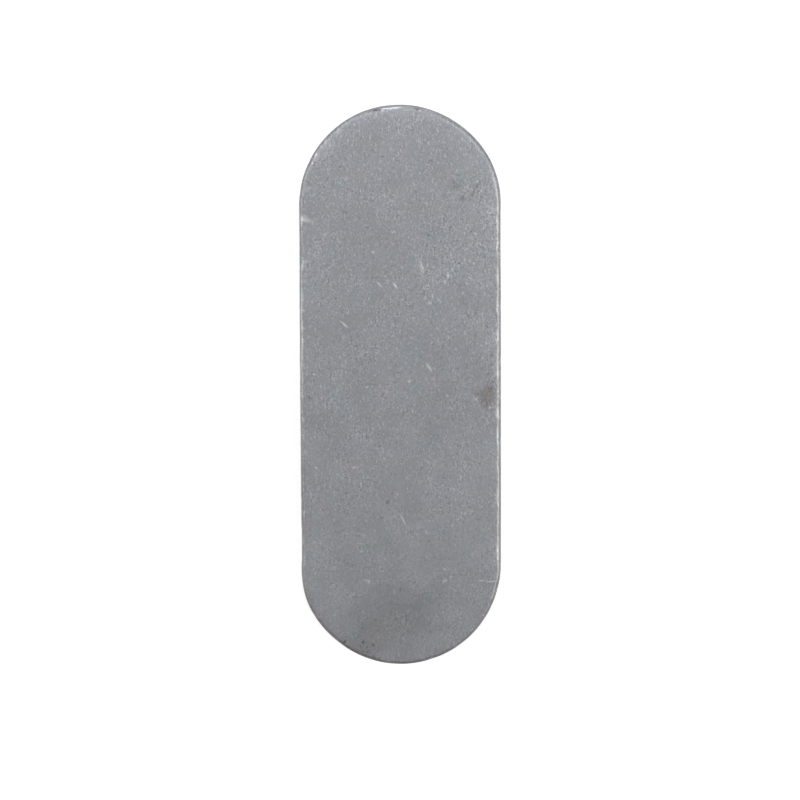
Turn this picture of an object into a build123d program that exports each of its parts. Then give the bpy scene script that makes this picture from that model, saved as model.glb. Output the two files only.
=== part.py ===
from build123d import *
import os

# Parallel key with two fully rounded ends: a bar of bright steel that sits half in a shaft's keyseat and
# half in the keyway of the hub around it, and carries the torque between them on its two long flanks.
# Lengths are in millimetres. The origin is the centre of the bottom face. +Y runs along the key, +X
# across its width and +Z up through its height.

# Driving dimensions
key_width = 20.0  # between the two flanks, which is also the width of the keyseat
key_height = 12.0  # from the bottom face to the top face
key_length = 56.0  # over both rounded ends
edge_radius = 0.45  # rounding of the rims of the top and bottom faces, as tumbling leaves it

# The outline is a slot: straight flanks that run into half circles as wide as the key.
with BuildPart() as parallel_key:
    with BuildSketch(Plane.XY):
        SlotOverall(key_length, key_width, rotation=90)
    extrude(amount=key_height)
    rims = parallel_key.faces().filter_by(Axis.Z).edges()
    fillet(rims, radius=edge_radius)
parallel_key.part.label = "parallel_key"

os.makedirs("parts", exist_ok=True)
export_step(parallel_key.part, "parts/parallel_key.step")
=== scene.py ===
# %% [markdown]
# # A parallel key of tumbled steel
# A parallel key is a small bar that locks a wheel to its shaft. One half of its height lies in a slot in
# the shaft and the other half in a groove in the wheel, so neither can turn without the other. This one
# has two fully rounded ends, because its slot is cut with an end mill, which leaves round ends too.
#
# The lesson has three parts: one closed surface worked out from two parameters, one steel with the wear
# that tumbling leaves on it, and a plain studio with a long lens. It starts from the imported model, which
# gives every size.

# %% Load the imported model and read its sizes
import math

import bmesh
import bpy
import numpy as np
from mathutils import Matrix, Vector


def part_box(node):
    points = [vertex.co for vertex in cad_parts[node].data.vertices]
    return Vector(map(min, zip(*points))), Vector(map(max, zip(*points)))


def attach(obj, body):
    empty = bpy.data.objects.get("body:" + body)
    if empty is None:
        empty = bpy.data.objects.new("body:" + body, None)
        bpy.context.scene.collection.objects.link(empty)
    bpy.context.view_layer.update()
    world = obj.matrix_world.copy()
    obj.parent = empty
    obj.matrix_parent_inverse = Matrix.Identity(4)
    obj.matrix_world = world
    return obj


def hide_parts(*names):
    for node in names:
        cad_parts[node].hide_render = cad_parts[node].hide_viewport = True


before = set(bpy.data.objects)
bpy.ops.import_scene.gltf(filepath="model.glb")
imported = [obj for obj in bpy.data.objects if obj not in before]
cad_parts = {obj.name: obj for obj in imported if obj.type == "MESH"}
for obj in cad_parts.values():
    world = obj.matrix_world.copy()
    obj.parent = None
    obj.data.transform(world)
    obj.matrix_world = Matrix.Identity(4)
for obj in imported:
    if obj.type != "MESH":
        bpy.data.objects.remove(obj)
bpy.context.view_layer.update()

MM = 0.001
low, high = (np.array(corner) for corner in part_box("parallel_key"))
key_width, key_length, key_height = high - low
end_radius = key_width / 2
end_centre = key_length / 2 - end_radius
edge_radius = 0.45 * MM
print("key, mm:", np.round((high - low) / MM, 2), "end radius, mm:", round(end_radius / MM, 2))

# %% [markdown]
# ## The surface
# The key could be a box with bevelled edges, but then its edges would be equally sharp all round, and
# the small dents of the rim would have to be modelled by hand. A surface worked out from two parameters
# gives each point a name: `u` says how far round the outline it is, and `v` how far it is from the middle
# of the top face, outwards, over the edge, down the wall and back in below.
#
# The outline is easiest as a walk. A foot runs up and down the middle line, and an arm as long as the
# end radius points away from it. On a flank the foot moves and the arm stands still, and on an end the
# foot stands still while the arm turns half a circle.

# %% Walk round the outline
flank_steps = 250
end_steps = 210
flank_walk = 2 * end_centre
end_walk = math.pi * end_radius
outline_length = 2 * (flank_walk + end_walk)


def walk_outline():
    """Foot, arm direction and distance walked for each step round the key.

    The walk goes anticlockwise from where the right flank meets the near end. Right flank: the foot climbs
    from -end_centre to +end_centre with the arm at 0. Far end: the foot stays and the arm turns from 0 to
    180 degrees. The left flank and the near end are the same, turned round.
    """
    along = np.linspace(0, 1, flank_steps, endpoint=False)
    turn = np.linspace(0, 1, end_steps, endpoint=False)
    still_flank, still_end = np.ones(flank_steps), np.ones(end_steps)
    foot = end_centre * np.concatenate([2 * along - 1, still_end, 1 - 2 * along, -still_end])
    arm = math.pi * np.concatenate([0 * along, turn, still_flank, 1 + turn])
    walked = np.concatenate(
        [
            flank_walk * along,
            flank_walk + end_walk * turn,
            flank_walk + end_walk + flank_walk * along,
            2 * flank_walk + end_walk + end_walk * turn,
        ]
    )
    return foot, arm, walked


foot, arm, walked = walk_outline()
print("steps round the outline:", len(walked), "length, mm:", round(outline_length / MM, 1))

# %% [markdown]
# ## The section
# Seen in a cut across the key, each half is a flat top, a quarter round at the edge, a straight wall,
# another quarter round and a flat bottom. Each point of the cut is given by how far it lies from the
# middle line, how high it is, and which way the quarter round faces there. The flats have few points,
# which crowd together towards the edge, and the quarter rounds have many, because that is where light
# plays. The rounds begin at a slope of five degrees, because the flats roll off towards them.

# %% Divide the section
flat_steps = 20
round_steps = 9
wall_steps = 14
crowding = 1.9
round_begin = math.radians(85)


def divide_section():
    """Reach, tilt and drop of each point of the cut, from the top's middle line to the bottom's.

    Reach is 0 on the middle line and 1 from where the rounding begins; between them it is 1 minus the
    share of the way that is left, to the power of crowding. Tilt is the angle of the quarter round above
    the horizon: nearly 90 degrees where it begins, 0 on the wall, and the same below with a minus. Drop is
    0 at the upper end of the wall and 1 at its lower end.
    """
    off_wall = flat_steps + round_steps + 1
    inner = 1 - (1 - np.linspace(0, 1, flat_steps, endpoint=False)) ** crowding
    quarter = np.linspace(round_begin, 0, round_steps + 1)
    wall = np.linspace(0, 1, wall_steps + 1)[1:-1]
    flat = np.full(flat_steps, math.pi / 2)
    reach = np.concatenate([inner, np.ones(2 * round_steps + wall_steps + 1), inner[::-1]])
    tilt = np.concatenate([flat, quarter, 0 * wall, -quarter[::-1], -flat])
    drop = np.concatenate([np.zeros(off_wall), wall, np.ones(off_wall)])
    return reach, tilt, drop


reach, tilt, drop = divide_section()
print("points in the section:", len(reach))

# %% [markdown]
# ## Wear on the shape
# Tumbling in a drum rounds the edges a little unevenly and leaves small dents where keys knocked into
# each other. They could be carved into a finished mesh one by one, but both follow the rim, so they are
# written as functions of the distance walked: slow waves for the rounding, and for each dent a bell curve
# that pushes the rim in.

# %% Wear functions


def slow_waves(where, size, waves):
    """Size times the mean of sines over the whole outline, one for each (waves round the key, phase)."""
    sines = [np.sin(2 * math.pi * count * where / outline_length + phase) for count, phase in waves]
    return size * np.mean(sines, axis=0)


def bell(where, centre, spread):
    """Bell curve of the distance walked from centre, counted the short way round the closed outline."""
    gap = (where - centre + outline_length / 2) % outline_length - outline_length / 2
    return np.exp(-0.5 * (gap / spread) ** 2)


# %% [markdown]
# The ends were milled by hand feed, so the outline isn't quite true: just past the left flank, the near
# end bulges by a tenth of a millimetre. `outline_swell` holds such departures of the whole wall: where on
# the walk, how many millimetres out, and how many wide.

# %% Swellings of the outline


def walk_at(turned):
    """Distance walked to the point of an end where the arm has turned by this many degrees from +X.

    Up to 180 degrees it is one flank and a share of the far end, and beyond that it is two flanks, the
    whole far end and a share of the near end.
    """
    if turned <= 180:
        return flank_walk + end_walk * turned / 180
    return 2 * flank_walk + end_walk + end_walk * (turned - 180) / 180


outline_swell = [
    (flank_walk - 3 * MM, -0.035, 3.0),
    (walk_at(20), 0.045, 2.0),
    (walk_at(58), -0.040, 1.6),
    (walk_at(90), -0.045, 2.4),
    (walk_at(180) + 3 * MM, -0.020, 2.5),
    (walk_at(180) + 16 * MM, 0.015, 5.0),
    (walk_at(181) - 2.4 * MM, -0.055, 1.5),
    (walk_at(203), 0.115, 1.9),
    (walk_at(310), -0.045, 4.2),
    (walk_at(340), -0.030, 2.2),
]
swell = sum(out * MM * bell(walked, place, spread * MM) for place, out, spread in outline_swell)
print("swell of the outline, mm:", np.round([swell.min() / MM, swell.max() / MM], 3))

# %% [markdown]
# Tumbling also lets the flats roll off: over the last millimetre they sink by a few hundredths. The drum
# didn't treat this key evenly. At the near end the flats hardly roll off and the edge is a little sharper,
# and the edge of the left flank is sharper too.

# %% Rounding and roll-off
near_end = bell(walked, walk_at(270), 9 * MM)
left_side = bell(walked, walk_at(181) - 8 * MM, 8 * MM)
left_flank = bell(walked, walk_at(180) + end_centre, 14 * MM)
roll_reach = 0.5 * MM
roll_slope = math.tan(math.radians(5.5))
near_flatter = 0.85
left_flatter = 0.35
near_sharper = 0.08 * MM
left_sharper = 0.12 * MM
unevenness = 0.07 * MM
uneven_waves = [(3, 0.4), (7, 2.1), (16, 5.0), (41, 1.2)]
roll_depth = roll_reach * roll_slope * (1 - near_flatter * near_end - left_flatter * left_side)
rounding = edge_radius - near_sharper * near_end - left_sharper * left_flank
rounding = rounding + slow_waves(walked, unevenness, uneven_waves)
print("edge rounding, mm:", np.round([rounding.min() / MM, rounding.max() / MM], 3))
print("roll-off, mm:", np.round([roll_depth.min() / MM, roll_depth.max() / MM], 3))

# %% [markdown]
# A dent is a place on the walk, a depth and a width in millimetres, and the tilt of the quarter round that
# it sits on in degrees. The dents that catch the eye are listed one by one, and the small ones that nobody
# would miss singly are drawn at random from a fixed seed, so that every run makes the same key. A negative
# depth is a spot that stands proud, or that fills dents which were drawn too close together.

# %% Dents of the rims
rng = np.random.default_rng(56)
rim_dents = [
    (walk_at(95), 0.075, 0.42, 42),
    (walk_at(92), 0.060, 0.75, 62),
    (walk_at(123), -0.035, 0.30, 35),
    (walk_at(106), -0.030, 0.30, 50),
    (walk_at(70), -0.060, 0.38, 38),
    (26.1 * MM, -0.055, 0.42, 50),
]
dent_total = 120
dent_places = rng.uniform(0, outline_length, dent_total)
dent_depths = rng.uniform(0.012, 0.05, dent_total) * rng.choice([1.0, 0.4], dent_total)
dent_widths = rng.uniform(0.12, 0.4, dent_total)
dent_tilts = rng.uniform(20, 70, dent_total) * rng.choice([1, -1], dent_total)
rim_dents += list(zip(dent_places, dent_depths, dent_widths, dent_tilts))
print("dents on the rims:", len(rim_dents), "deepest, mm:", max(dent[1] for dent in rim_dents))

# %% [markdown]
# Now the grid itself. Every quantity is either a row (it depends on `u`) or a column (it depends on `v`),
# and numpy spreads them over the whole grid. A point is its foot, plus the arm times its distance from
# the middle line, at its height. Dents then push it in along the surface's own direction.

# %% Work out the surface
dent_reach = math.radians(24)


def key_surface():
    """Points of the key as an array of section points by outline steps by 3.

    Distance from the middle line = reach times the flat's half width; on the rounding it grows by the
    rounding times cos(tilt), less what that is where the rounding begins. The flats lie at the full height
    and at 0, and sink by an exponential of the distance from their rim. The rounding and the wall hang
    between them. A dent moves a point of the rounding inwards along its normal by
    depth * bell(along the rim) * bell(over the tilt).
    """
    reach_c, tilt_c, drop_c = reach[:, None], tilt[:, None], drop[:, None]
    on_edge = (reach_c == 1).astype(float)
    inner = end_radius + swell - rounding * (1 - math.cos(round_begin))
    out = reach_c * inner + on_edge * rounding * (np.cos(tilt_c) - math.cos(round_begin))
    sunk = roll_depth * np.exp((reach_c - 1) * inner / roll_reach)
    flat = np.where(drop_c < 0.5, key_height - sunk, sunk)
    wall_end = roll_depth + rounding * math.sin(round_begin)
    edge = (1 - drop_c) * (key_height - wall_end) + drop_c * wall_end + rounding * np.sin(tilt_c)
    height = np.where(on_edge > 0, edge, flat)
    pushed = np.zeros_like(out)
    for place, depth, width, lean in rim_dents:
        across = np.exp(-0.5 * ((tilt_c - math.radians(lean)) / dent_reach) ** 2)
        pushed += depth * MM * bell(walked, place, width * MM) * across * on_edge
    out = out - pushed * np.cos(tilt_c)
    height = height - pushed * np.sin(tilt_c)
    x = out * np.cos(arm)
    y = foot + out * np.sin(arm)
    return np.stack([x, y, height], axis=-1)


points = key_surface()
made_corners = np.round([points.min(axis=(0, 1)) / MM, points.max(axis=(0, 1)) / MM], 3)
print("grid:", points.shape, "corners, mm:", made_corners.tolist())

# %% [markdown]
# Some of the steel's patterns have a direction: scratches lie along the key, on its face as on its walls.
# For them each face gets a second place, where the skin of the key is cut along the rims and laid flat
# like a paper model. The top lies as it is, the underside is turned round, and the wall is two strips
# that are together as long as the walk round the key. The cut runs along the middle of the rounded edges.
# Shifts of a few millimetres keep the faces from showing the same wear in the same place. Dirt, painted
# highlights and shade lie along the rims, so each point also says how much it belongs to one, and how steep
# it is.

# %% Lay the skin flat
columns = len(walked)
rows = len(reach)
rim_row = flat_steps + round_steps // 2
rim_reach = 0.8 * MM
under_shift_x, under_shift_y = 3, 14
wall_shift = 4
strip_shifts = (5, -8)


def lay_flat(grid):
    """Flat place in mm for the four corners of each square: rows - 1 by columns by 4 by 3.

    On top it is (x, y). Underneath it is the shift for the underside minus (x, y). The wall is two strips
    of half the outline each. On the first it is (wall_shift + z, along + its own shift) and on the second
    (wall_shift - z, its own shift - along), with z from half the height and along from the strip's middle.
    """
    closed = np.concatenate([grid, grid[:, :1]], axis=1) / MM
    half = outline_length / MM / 2
    strip = np.arange(columns) // (columns // 2)
    begun = np.append(walked, outline_length) / MM
    row_kind = np.arange(rows - 1)[:, None]
    flat = np.zeros((rows - 1, columns, 4, 3))
    for corner, (down, beside) in enumerate(((0, 0), (1, 0), (1, 1), (0, 1))):
        x, y, z = np.moveaxis(closed[down : rows - 1 + down, beside : columns + beside], -1, 0)
        along = begun[beside : columns + beside] - (strip + 0.5) * half
        side = 1 - 2 * strip
        wall_x = wall_shift + side * (z - key_height / MM / 2)
        wall_y = side * along + np.where(strip == 0, *strip_shifts) + 0 * y
        is_top = row_kind < rim_row
        is_under = row_kind >= rows - 1 - rim_row
        flat[..., corner, 0] = np.where(is_top, x, np.where(is_under, under_shift_x - x, wall_x))
        flat[..., corner, 1] = np.where(is_top, y, np.where(is_under, under_shift_y - y, wall_y))
    return flat


def rim_shares():
    """Two numbers for each point, as a dictionary of arrays of section points by outline steps.

    "rim" is how much it belongs to a rim: the size of sin(tilt) on the rounding, and the exponential of
    -distance / rim_reach on the flats. "steep" is cos(tilt): 0 on the flats, 1 on the wall and rising
    between them over the rounding.
    """
    everywhere = np.ones((rows, columns))
    inwards = (1 - reach[:, None]) * end_radius * everywhere
    on_rounding = np.abs(np.sin(tilt))[:, None] * everywhere
    rim = np.where(reach[:, None] == 1, on_rounding, np.exp(-inwards / rim_reach))
    return {"rim": rim, "steep": np.cos(tilt)[:, None] * everywhere}


skin_places = lay_flat(points)
shares = rim_shares()
skin_corners = np.round([skin_places.min(axis=(0, 1, 2)), skin_places.max(axis=(0, 1, 2))], 1)
print("skin, mm:", skin_corners.tolist())

# %% [markdown]
# The grid closes on itself round the outline, so the last column joins the first. On the middle lines the
# points of the two halves fall on each other, and on the ends a whole fan of them falls on one spot.
# Merging the doubles closes those seams and turns the fans' squares into triangles.

# %% Turn the grid into a closed mesh
merge_distance = 0.0005 * MM


def grid_mesh(name, grid, skin, shares):
    """Mesh of squares between neighbours of a grid that closes round its second axis, with doubles merged."""
    here = np.arange(rows * columns).reshape(rows, columns)
    beside = np.roll(here, -1, axis=1)
    squares = np.stack([here[:-1], here[1:], beside[1:], beside[:-1]], axis=-1).reshape(-1, 4)
    mesh = bpy.data.meshes.new(name)
    mesh.from_pydata(grid.reshape(-1, 3), [], squares)
    mesh.attributes.new("skin", "FLOAT_VECTOR", "CORNER").data.foreach_set("vector", skin.ravel())
    for share, amounts in shares.items():
        mesh.attributes.new(share, "FLOAT", "POINT").data.foreach_set("value", amounts.ravel())
    worker = bmesh.new()
    worker.from_mesh(mesh)
    bmesh.ops.remove_doubles(worker, verts=worker.verts, dist=merge_distance)
    bmesh.ops.recalc_face_normals(worker, faces=worker.faces)
    for face in worker.faces:
        face.smooth = True
    open_edges = sum(not edge.is_manifold for edge in worker.edges)
    triangles = sum(len(face.verts) - 2 for face in worker.faces)
    volume = worker.calc_volume(signed=True)
    worker.to_mesh(mesh)
    worker.free()
    print(name, "triangles:", triangles, "open edges:", open_edges, "volume, mm3:", round(volume / MM**3, 1))
    return mesh


key = bpy.data.objects.new("tumbled_key", grid_mesh("tumbled_key", points, skin_places, shares))
bpy.context.scene.collection.objects.link(key)
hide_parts("parallel_key")
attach(key, "root")

# %% [markdown]
# ## A way to write shader maths
# A material is a net of nodes. Adding them one by one makes long code that hides the idea, so a small
# class wraps a node's output and gives it Python's operators. `1 - mask` then adds a Math node that
# subtracts, and a formula reads as a formula.

# %% Wrap a socket


class Wire:
    """A node's output that Python's operators work on. Each operator adds one Math node."""

    def __init__(self, socket):
        self.socket = socket

    def node(self, kind, settings, inputs, out=0):
        """Adds any node to the same material: its settings first, then a value or a Wire for each input."""
        made = self.socket.id_data.nodes.new(kind)
        for name, value in settings.items():
            setattr(made, name, value)
        for name, value in inputs.items():
            if isinstance(value, Wire):
                self.socket.id_data.links.new(value.socket, made.inputs[name])
            else:
                made.inputs[name].default_value = value
        return Wire(made.outputs[out])

    def math(self, operation, *values):
        """One Math node on these values, in order."""
        return self.node("ShaderNodeMath", {"operation": operation}, dict(enumerate(values)))

    def __add__(self, other):
        return self.math("ADD", self, other)

    def __sub__(self, other):
        return self.math("SUBTRACT", self, other)

    def __rsub__(self, other):
        return self.math("SUBTRACT", other, self)

    def __mul__(self, other):
        return self.math("MULTIPLY", self, other)

    __radd__ = __add__
    __rmul__ = __mul__


# %% [markdown]
# A few patterns come back often: a noise of a given grain size, a step from one level to another, and a
# mix of two colours. Each gets a short function. All of them count in millimetres, because the material
# starts from Object coordinates, which are metres, and multiplies them by a thousand once.

# %% Patterns in millimetres
steel = bpy.data.materials.new("tumbled_steel")
steel.use_nodes = True
shader = steel.node_tree.nodes["Principled BSDF"]
object_place = Wire(steel.node_tree.nodes.new("ShaderNodeTexCoord").outputs["Object"])
place = object_place.node("ShaderNodeVectorMath", {"operation": "SCALE"}, {0: object_place, "Scale": 1 / MM})


def noise(at, grain, octaves=0.0, falloff=0.5):
    """Smooth noise from 0 to 1 about 0.5, whose largest lumps are about grain millimetres across."""
    inputs = {"Vector": at, "Scale": 1 / grain, "Detail": octaves, "Roughness": falloff}
    return at.node("ShaderNodeTexNoise", {"noise_dimensions": "3D"}, inputs)


def step(value, start, end):
    """0 below start, 1 above end, and a smooth step between; start may be above end."""
    inputs = {"Value": value, "From Min": start, "From Max": end}
    return value.node("ShaderNodeMapRange", {"interpolation_type": "SMOOTHSTEP"}, inputs)


def mix_colours(amount, first, second, way="MIX"):
    """First where amount is 0 and second where it is 1; with MULTIPLY, second tints the first."""
    inputs = {0: amount, 6: first, 7: second}
    return amount.node("ShaderNodeMix", {"data_type": "RGBA", "blend_type": way}, inputs, out=2)


def shifted(at, offset):
    """The same place moved by an offset, so that two noises of one grain differ."""
    return at.node("ShaderNodeVectorMath", {"operation": "ADD"}, {0: at, 1: offset})


skin = place.node("ShaderNodeAttribute", {"attribute_name": "skin"}, {}, out=1)
rim = place.node("ShaderNodeAttribute", {"attribute_name": "rim"}, {}, out=2)
steep = place.node("ShaderNodeAttribute", {"attribute_name": "steep"}, {}, out=2)
split = place.node("ShaderNodeSeparateXYZ", {}, {0: place}).socket.node
x_mm, y_mm, z_mm = (Wire(split.outputs[axis]) for axis in range(3))
top_mm = key_height / MM
end_mm = end_centre / MM
on_top = step(z_mm, top_mm - 0.6, top_mm - 0.3)
off_middle = z_mm.math("ABSOLUTE", z_mm - top_mm / 2)
near_rims = step(off_middle, top_mm / 2 - 0.9, top_mm / 2 - 0.35)
print("material starts with", len(steel.node_tree.nodes), "nodes")

# %% [markdown]
# ## The grain of tumbled steel
# Tumbling with stones hammers the drawn surface to a dull grey. Close up it is a grain of small light and
# dark lumps a fifth of a millimetre long, drawn out a little along the key, over faint clouds of every
# larger size. An octave noise gives clouds whose strength falls as they get finer, and two plain noises on
# top of it give the grain, which is stronger than the clouds would make it.
#
# The stones didn't strike evenly, so the grain is keener in some patches than in others, and `patchy` says
# how keen. It also fades towards the near end, where a thin film of oil lies on it.

# %% Grain and clouds
fine_strength = 0.47
rough_strength = 0.23
cloud_strength = 0.28
speck_strength = 0.22
cloud_contrast = 3.0
patch_contrast = 5.0
dull_keenness = 0.71
added_keenness = 0.32


def stretched(at, angle, long, wide):
    """Place seen from a frame turned by angle degrees about Z, in units of long by wide millimetres."""
    inputs = {"Vector": at, "Rotation": (0, 0, math.radians(angle)), "Scale": (long, wide, 1)}
    return at.node("ShaderNodeMapping", {"vector_type": "TEXTURE"}, inputs)


def about_one(level, contrast):
    """Factor that is 1 where a noise is at its middle level of 0.5, and changes contrast times as fast."""
    return level * contrast - (contrast / 2 - 1)


fine_grain = noise(stretched(skin, 90, 0.20, 0.185), 1.0)
rough_grain = noise(stretched(skin, 80, 0.52, 0.30), 1.0)
specks = noise(shifted(place, (2.0, 3.0, 9.0)), 0.42, octaves=1.0, falloff=0.6)
blotches = noise(shifted(place, (7.0, 1.0, 4.0)), 2.6, octaves=3.0, falloff=0.65)
clouds = noise(shifted(place, (5.0, 50.0, 11.0)), 5.0, octaves=3.0, falloff=0.75)
patches = noise(shifted(place, (4.0, 6.0, 2.0)), 1.2, octaves=2.0, falloff=0.7)
keen = step(y_mm, -22.0, 0.0) * added_keenness + dull_keenness
patchy = about_one(clouds, cloud_contrast) * about_one(patches, patch_contrast) * keen
grain = ((fine_grain - 0.5) * fine_strength + (rough_grain - 0.5) * rough_strength) * patchy
grain = grain + (clouds - 0.5) * cloud_strength
grain = grain - step(specks, 0.62, 0.80) * speck_strength
print("nodes after the grain:", len(steel.node_tree.nodes))

# %% [markdown]
# Where a stone's corner hit, it left a short fleck, a tiny facet whose glint is painted in as a bright
# spot, so the flecks are painted glints. There are thousands, far too many to place one by one. Most lie
# roughly along the key, leaning down to the right, so they are the peaks of noises that are stretched
# along those directions. A Mapping node of type Texture turns and stretches the place for one direction.
# Each kind of fleck has an angle in degrees from +X, a length and a width in millimetres, the level of
# noise where it begins, which is higher for a rarer kind, and a strength.

# %% Flecks, painted glints
fleck_softness = 0.14
noise_apart = 17.3
fleck_kinds = [
    (-64, 0.40, 0.12, 0.68, 1.0),
    (-86, 0.36, 0.13, 0.69, 0.9),
    (-35, 0.30, 0.12, 0.70, 0.8),
    (-78, 0.70, 0.17, 0.73, 1.3),
]
fleck_glints = 0.0
for number, (angle, long, wide, begins, strength) in enumerate(fleck_kinds):
    peaks = noise(shifted(stretched(skin, angle, long, wide), (0, 0, noise_apart * number)), 1.0)
    fleck_glints = step(peaks, begins, begins + fleck_softness) * strength + fleck_glints
print("nodes after the flecks:", len(steel.node_tree.nodes))

# %% [markdown]
# The wall keeps a little of how it was made. The flanks were drawn through a die, which leaves faint lines
# along the key, and the side of the cutter that rounded the ends left faint upright ones.

# %% Drawn and milled lines
on_wall = step(steep, 0.90, 1.0)
on_end = step(y_mm.math("ABSOLUTE", y_mm), end_mm - 0.5, end_mm + 1.5)
drawn_lines = noise(stretched(skin, 90, 14.0, 0.16), 1.0, octaves=1.0)
milled_lines = noise(stretched(skin, 0, 12.0, 0.22), 1.0, octaves=1.0)
lines = (drawn_lines - 0.5) * (1 - on_end) + (milled_lines - 0.5) * on_end
lines = lines * on_wall
print("nodes after the lines:", len(steel.node_tree.nodes))

# %% [markdown]
# ## Marks listed one by one
# Some marks are large enough to be known one by one: scratches, bright dings, dark pits and smudges. They
# could be painted into a picture that is laid over the key, but a picture is coarse when seen close up,
# and a formula isn't. So each mark is an ellipse. A frame that is turned and squeezed like the ellipse
# makes it a circle, and the strength falls evenly from its middle to its rim, so it tapers like a real
# scratch. Many marks share a kind, which gives their lean in degrees from +X and how slender they are, so
# one frame serves them all, and each mark is left with its x, y, length and strength.
#
# Scratches and the spots on the rims have clean sides. Everything else is read through a ruffled place,
# which a noise moves to and fro by a fraction of a millimetre, so that its outline is ragged.

# %% Marks as ellipses
ruffle_size = 0.35
ripple = place.node("ShaderNodeTexNoise", {}, {"Vector": place, "Scale": 3.0, "Detail": 2.0}, out=1)
centred = shifted(skin, (-ruffle_size / 2, -ruffle_size / 2, 0.0))
uneven = {0: ripple, 1: (ruffle_size, ruffle_size, 0.0), 2: centred}
ruffled = place.node("ShaderNodeVectorMath", {"operation": "MULTIPLY_ADD"}, uneven)


def add_marks(at, kinds):
    """Sum of the strengths of elliptical marks, given as {(lean, slenderness): [(x, y, length, strength)]}.

    In a frame turned by the lean and squeezed by the slenderness, a mark is a circle about its middle with
    a radius of long / 2 / slender. There it is strength * (1 - distance / radius), and never below 0.
    """
    total = 0.0
    for (lean, slender), marks in kinds.items():
        frame_place = stretched(at, lean, slender, 1)
        turn = math.radians(lean)
        for x, y, long, strength in marks:
            middle = (
                (x * math.cos(turn) + y * math.sin(turn)) / slender,
                y * math.cos(turn) - x * math.sin(turn),
                0,
            )
            inputs = {0: frame_place, 1: middle}
            away = place.node("ShaderNodeVectorMath", {"operation": "DISTANCE"}, inputs, out=1)
            near = away.math("MULTIPLY_ADD", away, -2 * slender / long * strength, strength)
            total = near.math("MAXIMUM", near, 0.0) + total
    return total


print("nodes before the marks:", len(steel.node_tree.nodes))

# %% [markdown]
# Scratches come from keys that slid over each other. Most run along the key and lean to the right.

# %% Scratches
scratches = add_marks(
    skin,
    {
        (-70, 6): [
            (2.2, 11.95, 1.45, 0.7),
            (7.45, -8.2, 0.8, 0.6),
            (5.4, -15.9, 0.8, 0.7),
        ],
        (-56, 3.8): [
            (-0.5, 10.15, 1.1, 1.5),
            (2.84, 1.98, 1.45, 1.35),
            (4.42, 10.52, 0.6, 1.2),
            (-8.45, -1.6, 0.8, 0.5),
            (5.3, -10.25, 0.7, 0.6),
            (6.0, -10.6, 0.7, 0.6),
            (6.2, -2.6, 0.7, 0.7),
            (8.4, 14.0, 0.6, 0.7),
        ],
        (-62, 7): [(0.16, -13.23, 1.6, 1.1), (0.34, -13.58, 0.8, 0.9)],
        (-43, 3.8): [(-2.1, 10.3, 0.9, 1.2), (7.0, 10.8, 0.7, 1.0)],
        (-40, 5.5): [(-5.55, 6.28, 1.25, 1.9), (-5.9, 6.62, 0.5, 0.8)],
        (-88, 3.0): [
            (4.75, 11.1, 0.8, 1.9),
            (2.72, 12.15, 0.6, 1.1),
            (6.37, 12.62, 0.65, 1.1),
            (1.2, -2.4, 0.7, 0.9),
            (-1.45, -0.4, 0.6, 0.8),
            (-8.05, 3.75, 0.4, 0.9),
            (-3.7, -4.8, 0.6, 0.7),
            (-0.7, -20.6, 0.8, 0.6),
        ],
        (-2, 6): [
            (8.05, -19.5, 1.0, 1.5),
            (8.85, -19.62, 0.9, 1.9),
            (9.25, -19.56, 0.8, 1.4),
            (-3.5, -19.4, 1.2, 0.8),
        ],
    },
)
print("nodes after the scratches:", len(steel.node_tree.nodes))

# %% [markdown]
# A ding is where a corner struck and left a small facet; its brightness is a painted glint.

# %% Dings, painted glints
ding_glints = add_marks(
    ruffled,
    {
        (20, 1.2): [
            (-2.65, 13.5, 0.40, 1.3),
            (0.9, 0.55, 0.45, 1.2),
            (4.35, -19.5, 0.55, 1.0),
            (4.35, -18.35, 0.4, 1.0),
            (-4.65, -8.0, 0.45, 1.1),
            (-8.5, -8.0, 0.4, 1.0),
            (-5.9, -9.1, 0.45, 0.6),
            (4.9, -6.1, 0.5, 0.6),
            (7.6, 20.46, 0.45, 1.2),
            (5.25, 18.8, 0.6, 0.35),
            (7.5, -1.25, 0.4, 1.0),
            (8.3, -1.65, 0.35, 1.0),
            (8.9, -2.05, 0.4, 1.1),
            (2.0, 27.4, 0.35, 1.0),
            (-7.4, 15.2, 0.4, 0.8),
            (-0.6, 15.4, 0.4, 0.7),
            (7.5, 15.2, 0.45, 0.7),
            (3.1, 4.4, 0.35, 0.9),
            (2.5, 8.87, 0.55, 0.6),
            (2.84, 8.4, 0.6, 0.6),
            (-3.35, 0.05, 0.4, 0.8),
            (-3.3, 3.5, 0.35, 0.8),
            (-0.4, -10.75, 0.35, 0.9),
            (-4.0, -9.7, 0.35, 0.8),
            (5.1, -13.9, 0.4, 0.7),
            (8.1, -12.0, 0.4, 0.8),
            (-8.25, 23.1, 0.45, 1.1),
            (-3.25, -19.6, 0.4, 1.0),
        ],
        (-54, 2.5): [
            (3.15, 9.15, 0.6, 0.8),
            (3.85, 8.7, 0.7, 0.8),
            (2.95, 8.4, 0.6, 0.6),
            (6.2, 9.35, 0.6, 0.7),
            (5.0, 8.9, 0.4, 0.6),
            (4.6, -0.85, 0.7, 0.6),
            (2.55, -14.6, 0.6, 0.8),
        ],
        (-75, 3.5): [(2.1, 12.0, 2.0, 0.55), (-2.3, 27.1, 0.9, 0.5)],
        (62, 3): [(0.6, -9.1, 0.6, 0.8), (5.2, 11.7, 0.6, 0.7), (-8.6, -18.7, 0.5, 0.8)],
    },
)
print("nodes after the dings:", len(steel.node_tree.nodes))

# %% [markdown]
# Pits are tiny dark holes that were there before the tumbling, which didn't reach into them. The darkest
# lie in a group at the near end.

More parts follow.
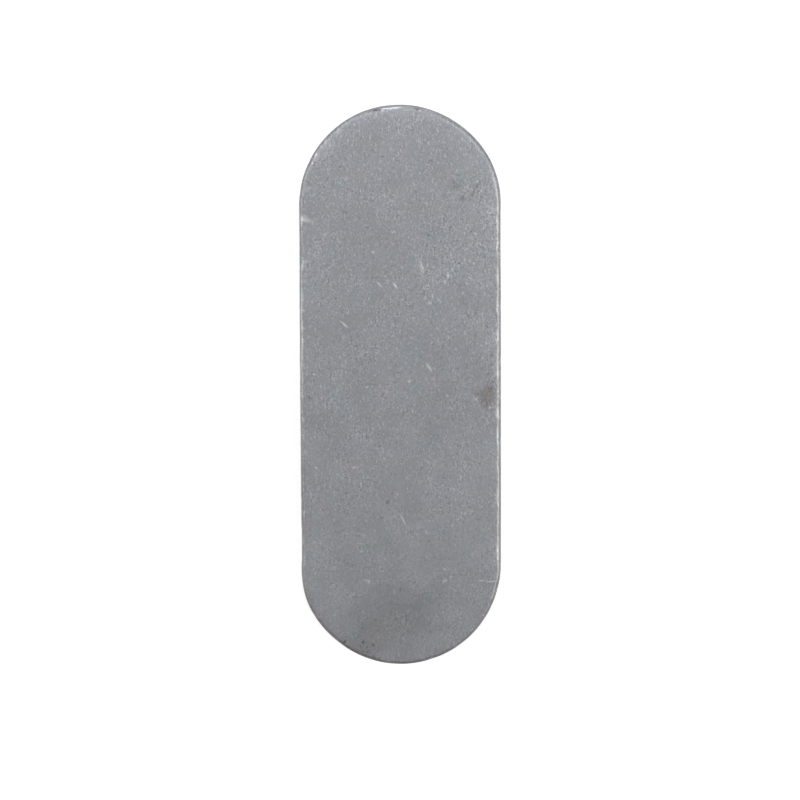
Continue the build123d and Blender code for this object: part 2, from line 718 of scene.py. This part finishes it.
# %% Pits
pits = add_marks(
    ruffled,
    {
        (62, 1.5): [
            (-1.35, -11.5, 0.65, 1.5),
            (-2.0, -13.1, 0.45, 1.2),
            (-5.7, -25.7, 0.65, 1.8),
            (-3.85, -25.75, 0.55, 1.7),
            (-2.85, -26.05, 0.5, 1.5),
            (-3.5, -26.25, 0.5, 1.5),
            (-4.1, -26.1, 0.45, 1.2),
            (-3.45, -26.75, 0.5, 1.3),
            (-2.4, -24.5, 0.4, 0.9),
            (9.0, -0.3, 0.5, 0.8),
            (9.1, 0.45, 0.45, 0.8),
            (7.2, -0.2, 0.45, 0.7),
            (-6.2, -22.1, 0.4, 1.0),
            (0.5, -23.5, 0.4, 1.0),
            (7.7, -3.7, 0.45, 0.8),
            (9.1, 3.2, 0.4, 1.0),
            (9.05, 2.2, 0.35, 1.0),
            (0.7, 20.6, 0.4, 0.8),
            (2.9, 22.5, 0.45, 0.7),
            (5.3, 20.3, 0.45, 0.7),
            (-1.2, -16.0, 0.35, 0.7),
            (-2.2, -27.3, 0.5, 1.2),
            (9.0, 3.8, 0.4, 0.8),
            (-0.1, -20.3, 0.45, 0.7),
        ],
        (-52, 2): [(-9.1, -1.0, 0.8, 0.9), (-5.4, 17.45, 0.7, 0.8), (-3.2, 15.9, 0.5, 0.9)],
        (6, 2.5): [(-5.4, -10.6, 0.7, 0.9), (-2.35, 27.52, 1.3, 1.7), (1.8, 27.55, 1.2, 0.9)],
    },
)
print("nodes after the pits:", len(steel.node_tree.nodes))

# %% [markdown]
# ## Smears, stains and painted light on the rims
# Smears, smudges, the brown stain and the film of oil belong to the top face alone, and so do the painted
# highlights listed with them. Pale smears are wide soft marks, and the long pale marks by the rims are
# painted highlights. Along the rims lie bright spots, which are painted highlights too, and the brightest
# of them, the white line at the far end, is a painted glint.

# %% Smears and painted rim highlights
smears_and_highlights = add_marks(
    ruffled,
    {
        (-22, 2.0): [(-9.5, 16.75, 1.7, 2.6), (-8.6, 16.5, 0.9, 0.9)],
        # The pale marks along the rims, here and in the next two kinds, are painted highlights.
        (85, 2.5): [(9.1, 17.0, 7.0, 0.35), (-9.0, 7.0, 9.0, 0.3)],
        (90, 30): [(-9.86, 6.0, 14.0, 1.2)],
        (102, 11): [(9.36, 20.0, 3.4, 1.6)],
    },
)
# Painted highlights along the rims, and the white glint at the far end.
rim_highlights = add_marks(
    skin,
    {
        (90, 5): [
            (9.62, -16.5, 2.4, 1.6),
            (9.62, -13.0, 1.0, 1.2),
            (9.62, -11.0, 2.4, 1.2),
            (9.62, -8.0, 0.9, 1.2),
            (9.62, -4.8, 2.0, 1.2),
            (9.62, -2.6, 1.8, 2.0),
            (9.64, 5.3, 0.9, 1.4),
            (9.62, 10.8, 2.0, 1.6),
            (-9.72, 9.1, 2.0, 1.0),
            (-9.76, 4.4, 1.8, 0.6),
            (-9.76, 2.8, 1.6, 0.5),
            (-9.76, 1.2, 1.6, 0.7),
            (-9.76, -0.6, 1.4, 1.2),
            (-9.72, -12.8, 1.2, 0.7),
        ],
        (90, 16): [(9.63, 3.0, 7.0, 0.6), (9.63, 8.0, 4.0, 0.7), (9.63, 14.5, 5.0, 0.3)],
        (90, 2): [
            (-9.66, 12.0, 1.0, 1.7),
            (-9.75, 10.6, 0.6, 1.2),
            (-9.75, 6.4, 0.5, 1.2),
            (-9.75, -9.6, 0.4, 1.0),
            (-9.78, -15.6, 0.5, 1.3),
            (9.62, -17.2, 0.5, 1.2),
            (5.56, 25.78, 0.5, 1.2),
            (-6.95, 24.55, 0.45, 1.3),
            (-7.35, 24.15, 0.35, 1.2),
        ],
        (4, 9): [(-0.85, 27.66, 2.5, 4.2), (-1.5, 27.62, 1.1, 1.6), (-0.25, 27.68, 1.1, 1.8)],
        (139, 8): [(6.43, 25.33, 6.5, 0.6)],
        (156, 8): [(3.98, 26.93, 3.8, 0.8)],
    },
)
smears_and_highlights = (smears_and_highlights + rim_highlights) * on_top
print("nodes after the smears:", len(steel.node_tree.nodes))

# %% [markdown]
# A few dull smudges lie at the right of the far end, where something dark was rubbed on.

# %% Smudges
smudges = add_marks(
    ruffled,
    {
        (59, 5): [(7.6, 19.85, 1.5, 2.3), (7.15, 19.05, 1.5, 2.0)],
        (0, 1.3): [
            (6.2, 18.75, 1.1, 2.4),
            (5.7, 19.95, 1.0, 1.0),
            (7.85, 20.15, 0.5, 2.0),
            (6.87, 18.6, 0.5, 1.3),
            (5.4, 20.1, 2.0, 0.6),
        ],
    },
)
smudges = smudges * on_top
print("nodes after the smudges:", len(steel.node_tree.nodes))

# %% [markdown]
# A brown stain sits by the right edge, and a thin dark film of old oil covers the near end. A thin dark
# line along the left rim, listed with the film, is painted shade. Their rims are broken up by noise, and
# they tint the steel instead of darkening it evenly. The rounding of the rims is tinted too, in some places
# more than in others: with dirt along the sides and at the far end, and with painted shade at the near end.

# %% Stains and painted rim shade
brown = add_marks(
    ruffled,
    {
        (75, 1.2): [(8.6, -1.15, 2.7, 0.9)],
        (-15, 2.2): [(7.9, -0.75, 2.6, 0.7)],
        (90, 3): [(8.85, -0.1, 6.5, 0.5)],
    },
)
brown_here = step(brown * on_top * (specks + 0.3), 0.10, 0.55)
film_and_rim_shade = add_marks(
    ruffled,
    {
        (4, 2.0): [(-1.5, -24.0, 11.5, 0.7)],
        (35, 1.6): [(-3.8, -26.2, 7.5, 1.1)],
        (0, 1.25): [(-0.5, -22.8, 24.0, 0.75), (3.8, -21.6, 8.0, 0.4)],
        # Painted shade: a dark line along the left rim.
        (90, 30): [(-9.84, -11.0, 20.0, 1.5)],
        (80, 2.5): [(-6.6, -13.5, 15.0, 0.4)],
    },
)
film_and_shade_here = step(film_and_rim_shade * on_top * (blotches + 0.5), 0.05, 1.25)
# The steep rounding of the rims gets dirt, and at the near end painted shade.
dirty_and_shaded_rim = step(steep, 0.0, 0.60) * near_rims * (blotches * 1.2 + 0.3)
print("nodes after the stains:", len(steel.node_tree.nodes))

# %% [markdown]
# The widest clouds of a face are few, and where they lie is part of how it looks, so the noise gets some
# help: wide marks that make the steel a few hundredths paler or darker. Their strengths are per cent.

# %% Paler and darker places
paler = add_marks(
    ruffled,
    {
        (-78, 1.8): [
            (1.7, 1.2, 8.0, 7.0),
            (7.6, 10.6, 6.5, 6.0),
            (8.9, -7.8, 6.5, 8.0),
            (-8.8, -6.6, 6.0, 7.5),
        ],
        (-45, 1.3): [
            (-1.2, -13.2, 5.5, 7.0),
            (6.8, 21.6, 4.5, 6.0),
            (-8.7, 16.6, 4.0, 5.5),
            (-0.8, -22.4, 5.0, 5.5),
            (-9.0, -20.3, 3.0, 6.0),
            (3.9, -16.8, 3.6, 5.5),
        ],
    },
)
darker = add_marks(
    ruffled,
    {
        (-78, 1.8): [(2.9, 16.0, 8.5, 6.5), (-2.2, 7.4, 6.0, 5.0), (-0.9, 21.0, 6.0, 4.5)],
        (-20, 1.4): [
            (-3.0, -4.0, 4.6, 6.5),
            (-5.0, -17.3, 6.0, 6.5),
            (-5.6, -11.3, 5.0, 5.5),
            (-4.0, 3.0, 5.0, 5.5),
            (7.6, 2.4, 5.0, 5.5),
            (4.7, -24.0, 4.0, 4.5),
        ],
    },
)
print("nodes after the paler and darker places:", len(steel.node_tree.nodes))

# %% [markdown]
# ## Brightness
# Brightness is one number that all the marks add to or take from, painted highlights and glints among
# them. The walls are struck less in the drum than the flats are, so their grain and flecks are calmer, and
# the lines of drawing and milling show. Along each rim a painted highlight makes the steel brighter, in
# short bright beads, and between them it is a little darker.

# %% Add up the brightness
smear_and_highlight_share = 0.45
wall_calm = 0.40
fleck_glint_strength = 0.42
line_strength = 0.42
lit_strength = 0.75
pit_strength = 0.42
smudge_strength = 0.16
rim_highlight_strength = 0.05
highlight_bead_strength = 0.35
between_beads = 0.10
per_cent = 0.01
# lit holds the scratches, the painted glints of the dings and the painted highlights among the smears.
lit = scratches + ding_glints + smears_and_highlights * smear_and_highlight_share
highlight_bead_noise = noise(shifted(place, (8.0, 8.0, 1.0)), 0.8, octaves=2.0, falloff=0.8)
highlight_beads = step(highlight_bead_noise, 0.53, 0.70)
calm = 1 - on_wall * wall_calm
brightness = (
    1
    + (grain + fleck_glints * keen * fleck_glint_strength) * calm
    + lines * line_strength
    + lit * lit_strength
    - pits * pit_strength
    - smudges * smudge_strength
)
brightness = brightness + (paler - darker) * per_cent
# Painted highlight along the rims, in short beads with darker steel between them.
brightness = brightness + rim * rim_highlight_strength + rim * rim * (highlight_beads * highlight_bead_strength - between_beads)
print("nodes after the brightness:", len(steel.node_tree.nodes))

# %% [markdown]
# ## Colour
# The steel's own colour is a cool mid grey, and it is multiplied by the brightness. Between them lie
# faint tints. Some places are cooler, warmer or more olive than others, as the skin of steel is. The dirt
# in the rims is brown along the sides and grey at the far end. At the near end, more so on its left, the
# rims are painted reddish and darker, as painted shade. The brown stain and the film of oil, with the
# painted shade of the left rim, come last, because they lie on top.

# %% Tint the steel and paint the rims' shade
steel_colour = (0.3060, 0.3103, 0.3325)
brown_tint = (0.80, 0.75, 0.705, 1)
film_and_shade_tint = (0.805, 0.802, 0.775, 1)
side_dirt = (1.012, 0.985, 0.90, 1)
# Painted shade for the rims of the near end, reddish and darker.
near_rim_shade = (0.86, 0.69, 0.64, 1)
far_dirt = (0.87, 0.85, 0.875, 1)
cool_tint = (0.956, 1.004, 1.000, 1)
warm_tint = (1.035, 0.990, 1.005, 1)
olive_tint = (0.990, 1.000, 0.955, 1)
white = (1, 1, 1, 1)
sheen = noise(shifted(place, (9.0, 2.0, 6.0)), 1.9, octaves=1.0)
mottled = mix_colours(step(sheen, 0.46, 0.30), white, cool_tint)
mottled = mix_colours(step(sheen, 0.62, 0.78), mottled, warm_tint)
mottled = mix_colours(step(blotches, 0.44, 0.24), mottled, olive_tint, "MULTIPLY")
# Painted shade: darker, reddish rims at the near end, more so on its left.
near_shade_share = step(y_mm, -15.0, -24.0) * (step(x_mm, 7.0, -3.0) * 0.5 + 0.5)
rim_dirt_and_shade = mix_colours(near_shade_share, side_dirt, near_rim_shade)
rim_dirt_and_shade = mix_colours(step(y_mm, 16.0, 26.0), rim_dirt_and_shade, far_dirt)
rimmed = mix_colours(dirty_and_shaded_rim, mottled, rim_dirt_and_shade, "MULTIPLY")
browned = mix_colours(brown_here, rimmed, brown_tint, "MULTIPLY")
stained = mix_colours(film_and_shade_here, browned, film_and_shade_tint, "MULTIPLY")
toned = stained.node("ShaderNodeVectorMath", {"operation": "SCALE"}, {0: stained, "Scale": brightness})
colour = toned.node("ShaderNodeVectorMath", {"operation": "MULTIPLY"}, {0: toned, 1: steel_colour})
print("nodes after the colour:", len(steel.node_tree.nodes))

# %% [markdown]
# ## Roughness and relief
# A fleck or scratch is a small polished place, so it is also smoother, and a pit is rougher. The walls are
# a little smoother than the flats. The relief is in millimetres: soft waves from drawing, the hammered
# grain, scratches and pits that go down, and the lines of the walls. It is far too fine to be cut into
# the mesh, so a Bump node turns it into a normal that changes from point to point.

# %% Roughness and relief
plain_roughness = 0.46
cloud_roughness = 0.12
pit_roughness = 0.10
lit_polish = 0.05
fleck_polish = 0.06
wall_polish = 0.08
wave_height = 0.004
rough_height = 0.0018
fine_height = 0.0008
scratch_depth = 0.002
pit_depth = 0.006
line_height = 0.004
roughness = plain_roughness + (clouds - 0.5) * cloud_roughness - lit * lit_polish - fleck_glints * fleck_polish
roughness = roughness + pits * pit_roughness - on_wall * wall_polish
waves = noise(stretched(skin, 90, 9.0, 2.5), 1.0) * wave_height
hammered = rough_grain * rough_height + fine_grain * fine_height
height = waves + hammered - scratches * scratch_depth - pits * pit_depth + lines * line_height
relief = height.node("ShaderNodeBump", {}, {"Height": height, "Distance": MM, "Strength": 1.0})
print("nodes in the steel:", len(steel.node_tree.nodes))

# %% [markdown]
# Steel is a metal, so its colour is the colour of its reflection. At a glancing angle most metals turn
# white. Here the tint of the edge is a mid grey instead, as the hammered skin traps such light.

# %% Finish the steel
edge_tint = (0.45, 0.45, 0.46, 1)
shader.inputs["Metallic"].default_value = 1.0
shader.inputs["Specular Tint"].default_value = edge_tint
for name, wire in {"Base Color": colour, "Roughness": roughness, "Normal": relief}.items():
    steel.node_tree.links.new(wire.socket, shader.inputs[name])
key.data.materials.append(steel)
print("inputs that vary over the key:", [socket.name for socket in shader.inputs if socket.is_linked])

# %% [markdown]
# ## The studio
# Steel shows what is around it, so the light is a room more than a lamp. A pale world fills every
# direction, and large soft boxes stand above, at the far end and on both sides. The brightest is on the
# right, where it draws a line of light along the edge, and none stands at the near end, which stays darker.
# Lamps could be set by trying out watts, but it is easier to say how bright each should look in a mirror
# and to work the watts out from that.

# %% Soft boxes
box_distance = 1.2
room_grey = 0.44


def soft_box(name, azimuth, elevation, width, height, brightness):
    """Area lamp that faces the key from a direction in degrees: watts = brightness * pi * width * height.

    Azimuth 0 is above the far end and 90 is to the right. Seen in a mirror, the lamp is as bright as asked.
    """
    lamp = bpy.data.lights.new(name, "AREA")
    lamp.shape = "RECTANGLE"
    lamp.size, lamp.size_y = width, height
    lamp.energy = brightness * math.pi * width * height
    holder = bpy.data.objects.new(name, lamp)
    around, up = math.radians(azimuth), math.radians(elevation)
    direction = Vector((math.sin(around) * math.cos(up), math.cos(around) * math.cos(up), math.sin(up)))
    holder.location = direction * box_distance + Vector((0, 0, key_height))
    holder.rotation_mode = "QUATERNION"
    holder.rotation_quaternion = direction.to_track_quat("Z", "Y")
    bpy.context.scene.collection.objects.link(holder)


soft_box("overhead_box", 0, 70, 0.9, 0.4, 2.4)
soft_box("far_box", 0, 23, 1.0, 0.55, 2.1)
soft_box("far_left_box", -45, 45, 0.8, 0.5, 2.0)
soft_box("right_box", 90, 46, 0.9, 0.6, 3.3)
soft_box("left_box", -90, 42, 0.9, 0.6, 1.6)

world = bpy.data.worlds.new("pale_room")
world.use_nodes = True
world.node_tree.nodes["Background"].inputs["Color"].default_value = (room_grey, room_grey, room_grey, 1)
bpy.context.scene.world = world
print("lamps:", [lamp.name for lamp in bpy.data.lights])

# %% [markdown]
# ## The floor
# The floor is a pale sheet. Lamps light it as they light the key, so it keeps the key's soft shadow, and
# a little glow that only shows to the camera and in reflections lifts it to a clean white. It lies two
# hundredths of a millimetre low, because two surfaces at one height flicker where they touch.

# %% Pale floor
floor_size = 3.0
floor_height = -0.02 * MM
floor_colour = (0.86, 0.86, 0.86, 1)
glow = 0.38
corners = np.array([(-1, -1, 0), (1, -1, 0), (1, 1, 0), (-1, 1, 0)]) * floor_size / 2 + (0, 0, floor_height)
sheet = bpy.data.meshes.new("floor")
sheet.from_pydata(corners, [], [(0, 1, 2, 3)])
floor = bpy.data.objects.new("floor", sheet)
bpy.context.scene.collection.objects.link(floor)

paper = bpy.data.materials.new("pale_paper")
paper.use_nodes = True
paper_shader = paper.node_tree.nodes["Principled BSDF"]
paper_shader.inputs["Base Color"].default_value = floor_colour
paper_shader.inputs["Roughness"].default_value = 0.9
paper_shader.inputs["Specular IOR Level"].default_value = 0.0
paper_shader.inputs["Emission Color"].default_value = white
rays = paper.node_tree.nodes.new("ShaderNodeLightPath")
seen = Wire(rays.outputs["Is Camera Ray"]) + Wire(rays.outputs["Is Glossy Ray"])
glowing = (seen + Wire(rays.outputs["Is Transmission Ray"])) * glow
paper.node_tree.links.new(glowing.socket, paper_shader.inputs["Emission Strength"])
sheet.materials.append(paper)

# %% [markdown]
# ## The camera
# The view is almost straight down from 30 cm with a long lens. The camera stands a few degrees towards the
# far end, which makes that end look a hair wider. A quarter of a degree of lean and roll is what a
# hand-held camera has. The lens follows from how wide the view is at the key's top face.

# %% Camera
camera_distance = 0.300
camera_tilt = math.radians(5.82)
camera_lean = math.radians(-0.23)
camera_roll = math.radians(0.21)
view_width = 0.07965
target = Vector((-0.068 * MM, -1.28 * MM, key_height))

camera_data = bpy.data.cameras.new("camera")
camera_data.lens = camera_data.sensor_width * camera_distance / view_width
camera = bpy.data.objects.new("camera", camera_data)
back = Vector(
    (
        math.sin(camera_lean),
        math.sin(camera_tilt) * math.cos(camera_lean),
        math.cos(camera_tilt) * math.cos(camera_lean),
    )
)
right = Vector((0, 1, 0)).cross(back).normalized()
up = back.cross(right)
rolled_right = right * math.cos(camera_roll) - up * math.sin(camera_roll)
rolled_up = up * math.cos(camera_roll) + right * math.sin(camera_roll)
camera.matrix_world = Matrix.Translation(target + back * camera_distance) @ Matrix(
    (rolled_right, rolled_up, back)
).transposed().to_4x4()
bpy.context.scene.collection.objects.link(camera)
bpy.context.scene.camera = camera
bpy.context.scene.view_settings.view_transform = "Standard"
print("lens, mm:", round(camera_data.lens, 1))
